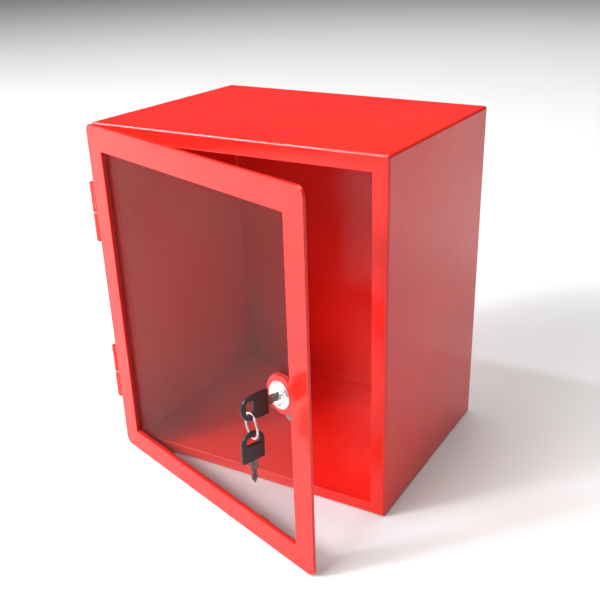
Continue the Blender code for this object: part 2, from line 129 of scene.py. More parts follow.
# ---- mesh tools ----
def add_mesh(name, verts, faces, look, smooth=True):
    mesh = bpy.data.meshes.new(name)
    mesh.from_pydata([tuple(v) for v in verts], [], faces)
    bm = bmesh.new()
    bm.from_mesh(mesh)
    bmesh.ops.recalc_face_normals(bm, faces=bm.faces)
    bm.to_mesh(mesh)
    bm.free()
    if smooth:
        mesh.shade_smooth()
        mesh.set_sharp_from_angle(angle=math.radians(40))
    mesh.materials.append(look)
    obj = bpy.data.objects.new(name, mesh)
    bpy.context.scene.collection.objects.link(obj)
    return obj


def grid_faces(rows, columns, wrap_rows, wrap_columns):
    """Quads over a grid of points that are listed row by row."""
    faces = []
    for i in range(rows if wrap_rows else rows - 1):
        for j in range(columns if wrap_columns else columns - 1):
            a = i * columns + j
            b = i * columns + (j + 1) % columns
            c = ((i + 1) % rows) * columns + (j + 1) % columns
            d = ((i + 1) % rows) * columns + j
            faces.append((a, b, c, d))
    return faces


def capped(rows, columns):
    """Faces of a tube whose two ends are closed with one face each."""
    faces = grid_faces(rows, columns, False, True)
    faces.append(tuple(range(columns)))
    faces.append(tuple(range((rows - 1) * columns, rows * columns)))
    return faces


def attach(piece, body, slot, *replaced):
    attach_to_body(piece, body)
    if replaced:
        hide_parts(*replaced)
    return piece


# ---- node tools ----
class Look:
    """A Principled material with its texture coordinates, and short ways to add nodes to it."""

    def __init__(self, name):
        self.material = bpy.data.materials.new(name)
        self.material.use_nodes = True
        self.tree = self.material.node_tree
        self.shader = self.tree.nodes["Principled BSDF"]
        self.place = self.node("ShaderNodeTexCoord").outputs["Object"]

    def node(self, kind, **settings):
        made = self.tree.nodes.new(kind)
        for key, value in settings.items():
            setattr(made, key, value)
        return made

    def link(self, source, target):
        self.tree.links.new(source, target)

    def set(self, **values):
        for key, value in values.items():
            self.shader.inputs[key.replace("_", " ")].default_value = value

    def stretched(self, scale):
        """The coordinates, scaled by a different amount along each axis."""
        mapping = self.node("ShaderNodeMapping")
        mapping.inputs["Scale"].default_value = scale
        self.link(self.place, mapping.inputs["Vector"])
        return mapping.outputs["Vector"]

    def noise(self, scale, detail=2.0, rough=0.5, place=None):
        made = self.node("ShaderNodeTexNoise")
        made.inputs["Scale"].default_value = scale
        made.inputs["Detail"].default_value = detail
        made.inputs["Roughness"].default_value = rough
        self.link(place or self.place, made.inputs["Vector"])
        return made.outputs["Fac"]

    def cells(self, scale, place=None):
        made = self.node("ShaderNodeTexVoronoi")
        made.inputs["Scale"].default_value = scale
        self.link(place or self.place, made.inputs["Vector"])
        return made

    def ranged(self, source, low, high, to_low, to_high):
        made = self.node("ShaderNodeMapRange", interpolation_type="SMOOTHSTEP")
        for key, value in (("From Min", low), ("From Max", high), ("To Min", to_low), ("To Max", to_high)):
            made.inputs[key].default_value = value
        self.link(source, made.inputs["Value"])
        return made.outputs["Result"]

    def math(self, operation, first, second=None):
        made = self.node("ShaderNodeMath", operation=operation)
        for socket, value in zip(made.inputs, (first, second)):
            if value is None:
                continue
            if isinstance(value, (int, float)):
                socket.default_value = value
            else:
                self.link(value, socket)
        return made.outputs[0]

    def mixed(self, amount, first, second):
        """Colour between two colours, each a tuple or a socket."""
        made = self.node("ShaderNodeMix", data_type="RGBA")
        for socket, value in ((made.inputs[0], amount), (made.inputs[6], first), (made.inputs[7], second)):
            if isinstance(value, tuple):
                socket.default_value = (*value, 1.0)
            elif isinstance(value, (int, float)):
                socket.default_value = value
            else:
                self.link(value, socket)
        return made.outputs[2]

    def bump(self, height, strength, distance, under=None):
        made = self.node("ShaderNodeBump")
        made.inputs["Strength"].default_value = strength
        made.inputs["Distance"].default_value = distance
        self.link(height, made.inputs["Height"])
        if under:
            self.link(under, made.inputs["Normal"])
        return made.outputs["Normal"]

    def softened(self, radius):
        """The surface's normal with every sharp edge rounded off by the radius."""
        bevel = self.node("ShaderNodeBevel", samples=6)
        bevel.inputs["Radius"].default_value = radius
        return bevel.outputs["Normal"]

    def edges(self, softened):
        """1 on the part's edges, 0 on its flat faces."""
        normal = self.node("ShaderNodeNewGeometry").outputs["Normal"]
        product = self.node("ShaderNodeVectorMath", operation="DOT_PRODUCT")
        self.link(softened, product.inputs[0])
        self.link(normal, product.inputs[1])
        return self.ranged(product.outputs["Value"], 0.98, 0.80, 0.0, 1.0)

    def use(self, colour=None, roughness=None, normal=None):
        for key, source in (("Base Color", colour), ("Roughness", roughness), ("Normal", normal)):
            if source is not None:
                self.link(source, self.shader.inputs[key])
        return self.material


# ---- materials ----
def red_paint():
    """Gloss paint: a slightly uneven tone, orange peel, small nibs, and edges lightened as a painted
    highlight.
    """
    look = Look("red_gloss_paint")
    patches = look.noise(7.0, 3.0)
    fine = look.noise(160.0, 3.0)
    tone = look.math("ADD", look.math("MULTIPLY", patches, 0.7), look.math("MULTIPLY", fine, 0.3))
    colour = look.mixed(look.ranged(tone, 0.3, 0.7, 0.0, 1.0), (0.70, 0.013, 0.009), (0.80, 0.021, 0.012))
    nibs = look.ranged(look.cells(190.0).outputs["Distance"], 0.05, 0.10, 1.0, 0.0)
    rare = look.ranged(look.noise(75.0, 1.0), 0.66, 0.70, 0.0, 1.0)
    specks = look.math("MULTIPLY", nibs, rare)
    colour = look.mixed(look.math("MULTIPLY", specks, 0.35), colour, (0.25, 0.004, 0.004))
    softened = look.softened(0.0008)
    edge = look.edges(softened)
    # painted highlight: every edge is lightened towards a paler red, standing in for the shine on the
    # rounded paint
    colour = look.mixed(look.math("MULTIPLY", edge, 0.30), colour, (0.90, 0.060, 0.045))
    roughness = look.ranged(look.noise(24.0, 4.0), 0.3, 0.7, 0.15, 0.24)
    waves = look.bump(look.noise(9.0, 1.0), 0.25, 0.0012, softened)
    peel = look.bump(look.noise(420.0, 1.5), 0.10, 0.00012, waves)
    normal = look.bump(specks, 0.35, 0.00008, peel)
    look.set(Specular_IOR_Level=0.42)
    return look.use(colour, roughness, normal)


def weld_paint():
    """The same paint where it lies thick and wet-looking over a weld."""
    look = Look("thick_gloss_paint")
    colour = look.mixed(look.noise(300.0, 3.0), (0.62, 0.010, 0.009), (0.82, 0.022, 0.016))
    roughness = look.ranged(look.noise(500.0, 2.0), 0.3, 0.7, 0.05, 0.10)
    look.set(Specular_IOR_Level=0.9)
    return look.use(colour, roughness, look.bump(look.noise(900.0, 2.0), 0.30, 0.0003))


def clear_pane():
    """Slightly tinted clear sheet with a thin haze of dust, and a shine that grows at grazing angles."""
    look = Look("clear_pane")
    output = look.tree.nodes["Material Output"]
    dust = look.noise(900.0, 2.0)
    cloud = look.noise(11.0, 3.0)
    cloudy = look.ranged(cloud, 0.35, 0.7, 0.6, 1.0)
    dusty = look.ranged(dust, 0.3, 0.8, 0.6, 1.0)
    haze = look.math("MULTIPLY", look.math("MULTIPLY", cloudy, dusty), 0.012)
    tint = look.node("ShaderNodeBsdfTransparent")
    tint.inputs["Color"].default_value = (0.875, 0.845, 0.85, 1.0)
    look.set(Base_Color=(0.80, 0.78, 0.77, 1.0), IOR=1.45)
    look.link(look.ranged(look.noise(30.0, 3.0), 0.3, 0.7, 0.04, 0.09), look.shader.inputs["Roughness"])
    veil = look.node("ShaderNodeMixShader")
    look.link(haze, veil.inputs[0])
    look.link(tint.outputs[0], veil.inputs[1])
    look.link(look.shader.outputs[0], veil.inputs[2])
    shine = look.node("ShaderNodeBsdfGlossy")
    shine.inputs["Color"].default_value = (1.0, 0.90, 0.82, 1.0)
    shine.inputs["Roughness"].default_value = 0.03
    facing = look.node("ShaderNodeLayerWeight").outputs["Facing"]
    grazing = look.math("POWER", facing, 5.0)
    reflected = look.math("ADD", look.math("MULTIPLY", grazing, 0.22), 0.008)
    gloss = look.node("ShaderNodeMixShader")
    look.link(reflected, gloss.inputs[0])
    look.link(veil.outputs[0], gloss.inputs[1])
    look.link(shine.outputs[0], gloss.inputs[2])
    look.link(gloss.outputs[0], output.inputs["Surface"])
    return look.material


def foam_tape():
    """Closed-cell foam tape; its dark red colour is painted shade along the window's inner edge."""
    look = Look("foam_tape")
    cells = look.cells(1500.0).outputs["Distance"]
    # painted shade: the tape is coloured dark red so that it reads as shade inside the window's edge
    colour = look.mixed(look.noise(60.0, 3.0), (0.036, 0.004, 0.004), (0.070, 0.009, 0.008))
    look.set(Specular_IOR_Level=0.04)
    normal = look.bump(cells, 0.4, 0.0002)
    return look.use(colour, look.ranged(cells, 0.0, 0.7, 0.75, 0.9), normal)


def silicone():
    """Clear sealant that takes the red of the paint behind it."""
    look = Look("clear_silicone")
    colour = look.mixed(look.noise(240.0, 3.0), (0.16, 0.012, 0.011), (0.34, 0.030, 0.026))
    look.set(Specular_IOR_Level=0.22)
    roughness = look.ranged(look.noise(300.0, 2.0), 0.3, 0.7, 0.08, 0.25)
    return look.use(colour, roughness, look.bump(look.noise(700.0, 2.0), 0.25, 0.0003))


def metal(name, dark, light, least_rough, most_rough, scratch, dirt, metallic):
    """Plated metal: cloudy tone, fine scratches in two directions and a little dirt."""
    look = Look(name)
    cloud = look.noise(70.0, 4.0)
    colour = look.mixed(look.ranged(cloud, 0.3, 0.7, 0.0, 1.0), dark, light)
    stains = look.ranged(look.noise(260.0, 5.0, 0.65), 0.56, 0.72, 0.0, dirt)
    colour = look.mixed(stains, colour, tuple(0.45 * part for part in dark))
    along = look.noise(260.0, 3.0, 0.6, look.stretched((1.0, 1.0, 14.0)))
    across = look.noise(300.0, 3.0, 0.6, look.stretched((11.0, 1.0, 1.0)))
    lines = look.math("ADD", look.math("MULTIPLY", along, 0.5), look.math("MULTIPLY", across, 0.5))
    roughness = look.ranged(lines, 0.35, 0.65, least_rough, most_rough)
    look.set(Metallic=metallic)
    return look.use(colour, roughness, look.bump(lines, scratch, 0.00006))


def black_plastic():
    """Moulded black plastic, a little worn, with edges lightened to a pale blue-grey as a painted
    highlight.
    """
    look = Look("black_plastic")
    grain = look.noise(2600.0, 2.0)
    wear = look.ranged(look.noise(180.0, 4.0, 0.6), 0.5, 0.72, 0.0, 0.5)
    colour = look.mixed(wear, (0.004, 0.0025, 0.003), (0.010, 0.007, 0.009))
    # painted highlight: the edges are lightened to a pale blue-grey rim shine
    edge = look.edges(look.softened(0.0006))
    colour = look.mixed(look.math("MULTIPLY", edge, 0.4), colour, (0.060, 0.060, 0.070))
    roughness = look.ranged(look.noise(240.0, 3.0), 0.3, 0.7, 0.30, 0.44)
    look.set(Specular_IOR_Level=0.42)
    return look.use(colour, roughness, look.bump(grain, 0.30, 0.00006))


def floor_paper():
    """Plain pale paper."""
    look = Look("pale_floor")
    look.set(Specular_IOR_Level=0.0)
    colour = look.mixed(look.noise(3.0, 2.0), (0.66, 0.66, 0.66), (0.675, 0.675, 0.675))
    return look.use(colour, look.ranged(look.noise(40.0, 2.0), 0.3, 0.7, 0.75, 0.85))


# darkest and lightest tone, least and most roughness, depth of the scratches, dirt, metallic
METALS = {
    "hinge_steel": ((0.36, 0.35, 0.34), (0.52, 0.51, 0.50), 0.28, 0.48, 0.25, 0.25, 1.0),
    "zinc_plate": ((0.30, 0.28, 0.26), (0.46, 0.44, 0.40), 0.26, 0.48, 0.20, 0.25, 1.0),
    "key_nickel": ((0.08, 0.068, 0.062), (0.19, 0.165, 0.145), 0.22, 0.42, 0.35, 0.25, 1.0),
    "lock_chrome": ((0.82, 0.82, 0.85), (0.95, 0.95, 0.97), 0.08, 0.17, 0.05, 0.10, 0.70),
    "ring_steel": ((0.70, 0.68, 0.67), (0.90, 0.89, 0.88), 0.14, 0.26, 0.12, 0.15, 0.7),
}


def make_looks():
    looks = {
        "red_paint": red_paint(),
        "clear_pane": clear_pane(),
        "glazing_tape": foam_tape(),
        "black_plastic": black_plastic(),
        "silicone": silicone(),
        "weld_paint": weld_paint(),
    }
    for name, values in METALS.items():
        looks[name] = metal(name, *values)
    return looks


NODE_LOOKS = {
    "window_pane": "clear_pane",
    "lock_housing": "lock_chrome",
    "lock_plug": "lock_chrome",
    "key_bow": "black_plastic",
    "spare_key_bow": "black_plastic",
    "key_blade": "key_nickel",
    "spare_key_blade": "key_nickel",
    "key_ring": "ring_steel",
    "lock_nut": "zinc_plate",
    "lock_washer": "zinc_plate",
    "lock_cam": "zinc_plate",
    "cam_washer": "zinc_plate",
    "cam_screw": "zinc_plate",
}


def node_look(name):
    if name in NODE_LOOKS:
        return NODE_LOOKS[name]
    if name.startswith("glazing_tape"):
        return "glazing_tape"
    if name.startswith("hinge") and name.endswith(("pin", "washer")):
        return "hinge_steel"
    return "red_paint"


def dress_nodes(nodes, looks):
    for name, obj in nodes.items():
        for slot in obj.material_slots:
            slot.material = looks[node_look(name)]


# ---- frames to place the details in ----
def joint(frame, name):
    return next(found for found in frame["joints"] if found["name"] == name)


def hinge_frame(frame):
    """The door's own frame: at the hinge axis, turned with the open door."""
    found = joint(frame, "door_hinge")
    opened = math.radians(found["range_deg"][0])
    x, y, _ = found["pos_m"]
    return Matrix.Translation((x, y, 0)) @ Matrix.Rotation(opened, 4, "Z")


def local_box(frame, node, place):
    """Lowest and highest corner of a CAD node in a turned frame."""
    back = place.inverted()
    points = [back @ v.co for v in frame["nodes"][node].data.vertices]
    low = Vector(min(p[axis] for p in points) for axis in range(3))
    high = Vector(max(p[axis] for p in points) for axis in range(3))
    return low, high


# ---- hinge welds ----
def weld_bead(name, start, end, radius, look, lumps, seed):
    """A short lumpy bead between two points, thinner at its ends."""
    axis = Vector(end) - Vector(start)
    across = axis.cross(Vector((0.3, 1.0, 0.1))).normalized()
    third = axis.normalized().cross(across)
    rows = 10 * lumps + 1
    columns = 16
    verts = []
    for i in range(rows):
        t = i / (rows - 1)
        taper = math.sqrt(max(0.0, 1 - (2 * t - 1) ** 4))
        ripple = 1 - 0.26 * math.cos(2 * math.pi * lumps * t)
        size = radius * max(0.12, taper) * ripple
        centre = Vector(start) + axis * t
        for j in range(columns):
            angle = 2 * math.pi * j / columns
            away = across * math.cos(angle) + third * math.sin(angle)
            rough = 1 + 0.16 * noise.noise(1500 * (centre + away * size) + Vector((seed, 0, 0)))
            verts.append(centre + away * size * rough)
    return add_mesh(name, verts, capped(rows, columns), look)


def place_at(frame_matrix, point):
    return frame_matrix @ Vector(point)


def tack_row(name, place, x, y, low, high, looks, seed):
    """Short upright tacks spread along a knuckle, as one object."""
    tacks = []
    for share in TACK_SPREAD:
        z = low.z + share * (high.z - low.z)
        ends = [place_at(place, (x, y, z + side * TACK_LENGTH / 2)) for side in (-1, 1)]
        tacks.append(weld_bead("tack", *ends, TACK_RADIUS, looks["weld_paint"], TACK_LUMPS, seed * z))
    return join(name, tacks)


def make_hinge_welds(frame, door_place, looks):
    """Tack welds where each knuckle's web meets the door's edge or the cabinet's side."""
    plate, _ = local_box(frame, "door_frame", door_place)
    shell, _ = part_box("cabinet_shell")
    for label in ("top", "bottom"):
        low, high = local_box(frame, f"hinge_{label}_door_knuckle", door_place)
        name = f"hinge_{label}_door_tacks"
        tacks = tack_row(name, door_place, plate.x - 0.0006, plate.y + 0.0002, low, high, looks, 7)
        attach(tacks, "door", "red_paint")

        low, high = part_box(f"hinge_{label}_cabinet_knuckle")
        name = f"hinge_{label}_cabinet_tacks"
        y = low.y + CABINET_TACKS
        tacks = tack_row(name, Matrix(), shell.x - 0.0008, y, low, high, looks, 9)
        attach(tacks, "cabinet", "red_paint")


def tab_bead_ends(low, high, plate):
    """Both ends of the bead along a tab's outer edge, on the back of the door plate."""
    centre = (low + high) / 2
    upright = high.z - low.z > high.x - low.x
    if upright:
        x = low.x if centre.x < plate.x / 2 else high.x
        return [(x, plate.y, centre.z + side * TAB_WELD_REACH) for side in (-1, 1)]
    z = low.z if centre.z < plate.z / 2 else high.z
    return [(centre.x + side * TAB_WELD_REACH, plate.y, z) for side in (-1, 1)]


def make_tab_welds(frame, door_place, looks):
    """A thin bead of weld along the outer edge of each pane tab."""
    _, plate = local_box(frame, "door_frame", door_place)
    beads = []
    for number in range(1, TAB_COUNT + 1):
        low, high = local_box(frame, f"pane_tab_{number}", door_place)
        ends = [place_at(door_place, end) for end in tab_bead_ends(low, high, plate)]
        look = looks["weld_paint"]
        beads.append(weld_bead("bead", *ends, TAB_WELD_RADIUS, look, TAB_WELD_LUMPS, 3.0 * number))
    attach(join("pane_tab_welds", beads), "door", "red_paint")


def join(name, parts):
    """One object out of several, with the first one's material."""
    bm = bmesh.new()
    for part in parts:
        bm.from_mesh(part.data)
    mesh = bpy.data.meshes.new(name)
    bm.to_mesh(mesh)
    bm.free()
    mesh.shade_smooth()
    mesh.set_sharp_from_angle(angle=math.radians(60))
    mesh.materials.append(parts[0].data.materials[0])
    for part in parts:
        bpy.data.objects.remove(part)
    obj = bpy.data.objects.new(name, mesh)
    bpy.context.scene.collection.objects.link(obj)
    return obj


# ---- sealant round the pane ----
def seal_path(frame, door_place):
    """Points (x, z) just behind the window's edge, round the opening and the lock's half-round pad."""
    low, high = local_box(frame, "door_frame", door_place)
    lock_low, lock_high = local_box(frame, "lock_housing", door_place)
    lock = (lock_low + lock_high) / 2
    left = low.x + WINDOW_SIDE
    right = high.x - WINDOW_SIDE
    bottom = low.z + WINDOW_BOTTOM
    top = high.z - WINDOW_TOP
    half = math.acos((right - lock.x) / LOCK_PAD_RADIUS)
    corners = [(right, bottom), (left, bottom), (left, top), (right, top)]
    pad = []
    for i in range(PAD_POINTS):
        angle = half + (2 * math.pi - 2 * half) * i / (PAD_POINTS - 1)
        x = lock.x + LOCK_PAD_RADIUS * math.cos(angle)
        z = lock.z + LOCK_PAD_RADIUS * math.sin(angle)
        pad.append((x, z))
    return corners + pad


def spaced(points, step):
    """Points at even steps along a closed path."""
    out = []
    for (x0, z0), (x1, z1) in zip(points, points[1:] + points[:1]):
        count = max(1, round(math.hypot(x1 - x0, z1 - z0) / step))
        for i in range(count):
            t = i / count
            out.append((x0 + (x1 - x0) * t, z0 + (z1 - z0) * t))
    return out


def make_seal(frame, door_place, looks):
    """An uneven bead of clear sealant in the corner between the door plate's edge and the pane."""
    path = spaced(seal_path(frame, door_place), SEAL_STEP)
    _, plate = local_box(frame, "door_frame", door_place)
    pane, _ = local_box(frame, "window_pane", door_place)
    depth = (plate.y + pane.y) / 2
    count = len(path)
    verts = []
    for i, (x, z) in enumerate(path):
        before = Vector(path[i - 1])
        after = Vector(path[(i + 1) % count])
        along = (after - before).normalized()
        inward = Vector((-along.y, along.x))
        slow = noise.noise(Vector((x * 90, z * 90, 4.0)))
        quick = noise.noise(Vector((x * 400, z * 400, 9.0)))
        wave = slow + 0.6 * quick
        radius = SEAL_RADIUS * (1.0 + 0.35 * wave)
        shift = 0.0003 * wave - 0.0002
        for j in range(SEAL_COLUMNS):
            angle = 2 * math.pi * j / SEAL_COLUMNS
            out = inward * (shift + radius * math.cos(angle))
            y = depth + min(radius, SEAL_DEPTH) * math.sin(angle)
            verts.append(place_at(door_place, (x + out.x, y, z + out.y)))
    faces = grid_faces(count, SEAL_COLUMNS, True, True)
    seal = add_mesh("pane_sealant", verts, faces, looks["silicone"])
    attach(seal, "door", "glazing_tape")


# ---- lock ----
def lock_frame(frame, door_place):
    """The lock's own frame: on its axis at the door's outer face, -Y out of the door."""
    origin = Vector(joint(frame, "lock_turn")["pos_m"])
    local = door_place.inverted() @ origin
    low, _ = local_box(frame, "door_frame", door_place)
    return door_place @ Matrix.Translation((local.x, low.y, local.z))


def turned(place, stations, reach, columns):
    """Points of rings round the Y axis. reach(station, angle) gives the radius."""
    verts = []
    for station in stations:
        for j in range(columns):
            angle = 2 * math.pi * j / columns
            x, z = reach(station, angle)
            verts.append(place @ Vector((x, station[1], z)))
    return verts


def round_reach(station, angle):
    return station[0] * math.cos(angle), station[0] * math.sin(angle)


def thread_wave(depth, angle):
    """1 on a thread's crest and 0 in its root, or the other way round for a nut."""
    turn = depth / THREAD_PITCH - angle / (2 * math.pi)
    return abs(2 * (turn - math.floor(turn)) - 1)


def collar_profile():
    """(radius, depth) of the collar, from the plug's hole over the dome to the door plate."""
    lip = [(0.0068, 0.0006), (0.0068, -0.0026), (0.0070, -0.0030), (0.0073, -0.0031), (0.0076, -0.0029)]
    step = [(0.0078, -0.0027), (0.0081, -0.0029), (0.0085, -0.0034), (0.0090, -0.0036)]
    dome = []
    for i in range(DOME_STEPS + 1):
        angle = i / DOME_STEPS * math.pi / 2
        dome.append((0.0090 + 0.0036 * math.sin(angle), -0.0004 - 0.0032 * math.cos(angle)))
    rim = [(0.0129, -0.0010), (0.0130, -0.0006), (0.0129, -0.00032), (0.0096, -0.00030)]
    return lip + step + dome + rim


def barrel_reach(station, angle):
    """Thread that fades out at the end, cut by the barrel's two flats."""
    fade = min(1.0, (BARREL_LENGTH - station[1]) / THREAD_FADE)
    radius = BARREL_RADIUS - THREAD_DEPTH * (1 - thread_wave(station[1], angle) * fade)
    x = radius * math.cos(angle)
    return max(-BARREL_FLAT, min(BARREL_FLAT, x)), radius * math.sin(angle)


def make_barrel(place, looks):
    steps = THREAD_SAMPLES * round(BARREL_LENGTH / THREAD_PITCH)
    length = BARREL_LENGTH + COLLAR_BACK
    stations = [(0.0, -COLLAR_BACK + length * i / steps) for i in range(steps + 1)]
    bore = [(PLUG_BORE, BARREL_LENGTH), (PLUG_BORE, -COLLAR_BACK)]
    outer = turned(place, stations, barrel_reach, ROUND_COLUMNS)
    inner = turned(place, bore, round_reach, ROUND_COLUMNS)
    faces = grid_faces(len(stations) + len(bore), ROUND_COLUMNS, True, True)
    return add_mesh("lock_barrel", outer + inner, faces, looks["lock_chrome"])


def make_collar(place, looks):
    """Domed chrome collar with a rolled rim, and the threaded barrel with two flats behind it."""
    profile = collar_profile()
    verts = turned(place, profile, round_reach, ROUND_COLUMNS)
    faces = grid_faces(len(profile), ROUND_COLUMNS, False, True)
    collar = add_mesh("lock_collar", verts, faces, looks["lock_chrome"])
    whole = join("lock_housing_detailed", [collar, make_barrel(place, looks)])
    attach(whole, "door", "lock_chrome", "lock_housing")


def nut_hole_reach(station, angle):
    radius = BARREL_RADIUS + NUT_THREAD_DEPTH * thread_wave(station[1], angle) + NUT_CLEARANCE
    return radius * math.cos(angle), radius * math.sin(angle)


def make_nut(frame, place, looks):
    """Hexagon nut with chamfered corners and a threaded hole."""
    back = place.inverted()
    depths = [(back @ v.co).y for v in frame["nodes"]["lock_nut"].data.vertices]
    front = min(depths)
    rear = max(depths)
    apothem = NUT_CORNER * math.cos(math.pi / 6)
    stations = [(0.0, front + (rear - front) * i / (NUT_RINGS - 1)) for i in range(NUT_RINGS)]

    def hex_reach(station, angle):
        turn = angle % (math.pi / 3) - math.pi / 6
        flat = apothem / math.cos(turn)
        inset = min(station[1] - front, rear - station[1])
        radius = min(flat, apothem - NUT_CHAMFER_START + NUT_CHAMFER_SLOPE * inset)
        return radius * math.cos(angle), radius * math.sin(angle)

    outer = turned(place, stations, hex_reach, ROUND_COLUMNS)
    hole = turned(place, list(reversed(stations)), nut_hole_reach, ROUND_COLUMNS)
    faces = grid_faces(2 * len(stations), ROUND_COLUMNS, True, True)
    nut = add_mesh("lock_nut_detailed", outer + hole, faces, looks["zinc_plate"])
    attach(nut, "door", "zinc_plate", "lock_nut")


# ---- split ring ----
def make_ring(frame, looks):
    """Two turns of flattened wire, which step past each other once, with cut ends."""
    swing = joint(frame, "ring_swing")
    low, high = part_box("key_ring")
    centre = (low + high) / 2
    side = Vector(swing["axis"]).normalized()
    normal = side.cross(Vector((0, 0, 1))).normalized()
    radius = (high.z - low.z) / 2 - RING_WIRE
    verts = []
    for i in range(RING_ROWS):
        angle = RING_TURNS * i / (RING_ROWS - 1)
        step = eased(angle, RING_STEP_START, RING_STEP_START + RING_STEP_LENGTH)
        level = RING_LEVEL * (2 * step - 1)
        around = RING_START + angle
        spoke = side * math.cos(around) + Vector((0, 0, 1)) * math.sin(around)
        squeeze = RING_END_SHARE if i in (0, RING_ROWS - 1) else 1.0
        for j in range(RING_COLUMNS):
            turn = 2 * math.pi * j / RING_COLUMNS
            wide = RING_WIRE * squeeze * rounded(math.cos(turn))
            tall = RING_LEVEL * RING_FILL * squeeze * rounded(math.sin(turn))
            verts.append(centre + spoke * (radius + wide) + normal * (level + tall))
    ring = add_mesh("split_ring", verts, capped(RING_ROWS, RING_COLUMNS), looks["ring_steel"])
    attach(ring, "ring", "ring_steel", "key_ring")


def rounded(value):
    """Pushes a circle's coordinate outwards, towards a square with round corners."""
    return math.copysign(abs(value) ** 0.6, value)


# ---- keys ----
def key_frame(tip_direction, side, corner):
    """Frame of a key: +Y along the blade, +Z across the bow, X through its thickness."""
    along = Vector(tip_direction).normalized()
    thick = Vector(side).normalized()
    across = thick.cross(along).normalized()
    axes = Matrix((thick, along, across)).transposed().to_4x4()
    return Matrix.Translation(corner) @ axes


def bow_end_radius(y, z):
    """Distance from the ring slot's middle to the half ellipse that rounds the bow's end."""
    half_length = BOW_LENGTH - BOW_STRAIGHT
    offset = BOW_SLOT_MIDDLE - BOW_STRAIGHT
    p = y / half_length
    q = z / BOW_HALF
    r = -offset / half_length
    square = p * p + q * q
    line = p * r
    rest = r * r - 1
    return (-line + math.sqrt(max(0.0, line * line - square * rest))) / square


def bow_radius(angle):
    """Distance from the ring slot's middle to the bow's outline, in that direction."""
    y = math.cos(angle)
    z = math.sin(angle)
    best = 1.0
    if y > 1e-6:
        best = min(best, BOW_SLOT_MIDDLE / y)
    if abs(z) > 1e-6:
        best = min(best, BOW_HALF / abs(z))
    if y < 0 or best * y < BOW_SLOT_MIDDLE - BOW_STRAIGHT:
        rounded_end = bow_end_radius(y, z)
        if BOW_SLOT_MIDDLE - rounded_end * y > BOW_STRAIGHT - 1e-9:
            best = rounded_end
    return best


def slot_radius(angle):
    """Distance from the ring slot's middle to its edge: squarer towards the blade than at the end."""
    y = math.cos(angle)
    z = math.sin(angle)
    reach = BOW_SLOT_MIDDLE - SLOT_START
    power = SLOT_FRONT_POWER
    if y <= 0:
        reach = SLOT_CROWN - BOW_SLOT_MIDDLE
        power = SLOT_BACK_POWER
    return (abs(z / SLOT_HALF) ** power + abs(y / reach) ** power) ** (-1 / power)


def loop_points(reach, columns):
    """Closed outline, (y, z) in the key's frame, from its radius round the slot's middle."""
    points = []
    for j in range(columns):
        angle = 2 * math.pi * j / columns
        radius = reach(angle)
        points.append(Vector((radius * math.cos(angle) - BOW_SLOT_MIDDLE, radius * math.sin(angle))))
    return points


def inset_loop(points, distance):
    """The loop moved towards its inside (or outside, if negative) along its own normals."""
    count = len(points)
    moved = []
    for j in range(count):
        along = (points[(j + 1) % count] - points[j - 1]).normalized()
        moved.append(points[j] + Vector((-along.y, along.x)) * distance)
    return moved


def rim_loop(points, angle, edge, outward):
    """One loop of a rounded rim. The angle goes from -90 degrees at one face to 90 at the other."""
    side = 0 if abs(angle) < 0.01 else math.copysign(1, angle)
    height = side * (BOW_THICK / 2 - edge) + edge * math.sin(angle)
    loop = inset_loop(points, outward * edge * (1 - math.cos(angle)))
    return [Vector((height, p.x, p.y)) for p in loop]


def face_loops(outer, inner, shares, side):
    """Loops across one face, which is sunk a little between its edges."""
    loops = []
    for share in shares:
        loop = []
        for p, q in zip(outer, inner):
            point = p.lerp(q, share)
            gap = min((point - p).length, (point - q).length)
            sunk = BOW_SUNK * eased(gap, BOW_SUNK_FROM, BOW_SUNK_TO)
            loop.append(Vector((side * (BOW_THICK / 2 - sunk), point.x, point.y)))
        loops.append(loop)
    return loops


def make_bow(name, place, body, replaced, looks):
    """Moulded bow with soft rounded edges and slightly sunk faces, round the slot for the ring."""
    outline = loop_points(bow_radius, BOW_COLUMNS)
    slot = loop_points(slot_radius, BOW_COLUMNS)
    outer_edge = inset_loop(outline, BOW_EDGE)
    inner_edge = inset_loop(slot, -SLOT_EDGE)
    shares = [i / BOW_FACE_STEPS for i in range(1, BOW_FACE_STEPS)]
    quarter = math.pi / 2
    loops = []
    for i in range(BOW_RIM_STEPS + 1):
        loops.append(rim_loop(outline, math.pi * i / BOW_RIM_STEPS - quarter, BOW_EDGE, 1))
    loops += face_loops(outer_edge, inner_edge, shares, 1)
    for i in range(SLOT_RIM_STEPS + 1):
        loops.append(rim_loop(slot, quarter - math.pi * i / SLOT_RIM_STEPS, SLOT_EDGE, -1))
    loops += face_loops(outer_edge, inner_edge, reversed(shares), -1)
    verts = [place @ v for loop in loops for v in loop]
    faces = grid_faces(len(loops), BOW_COLUMNS, True, True)
    bow = add_mesh(name, verts, faces, looks["black_plastic"])
    attach(bow, body, "black_plastic", replaced)


def eased(value, low, high):
    """0 below low, 1 above high and a smooth step between them."""
    t = max(0.0, min(1.0, (value - low) / (high - low)))
    return t * t * (3 - 2 * t)


# (y, half width) along the blade, from inside the bow to the tip
BLADE_SIDE = [
    (-0.0060, 0.0035),
    (-0.0002, 0.0036),
    (0.0003, 0.0040),
    (0.0080, 0.0040),
    (0.0098, 0.0027),
    (0.0116, 0.0018),
    (0.0132, 0.0018),
    (0.0150, 0.0028),
    (0.0178, 0.0028),
    (0.0220, 0.0006),
]


def blade_half(y):
    for (y0, h0), (y1, h1) in zip(BLADE_SIDE, BLADE_SIDE[1:]):
        if y <= y1:
            return h0 + (h1 - h0) * (y - y0) / (y1 - y0)
    return BLADE_SIDE[-1][1]


def blade_edge(y):
    """Half width of the blade, less the small cuts along its edges."""
    edge = blade_half(y)
    if BLADE_CUTS[0] < y < BLADE_CUTS[1]:
        edge -= BLADE_CUT_DEPTH * max(0.0, math.sin(2 * math.pi * y / BLADE_CUT_PITCH)) ** 3
    return edge


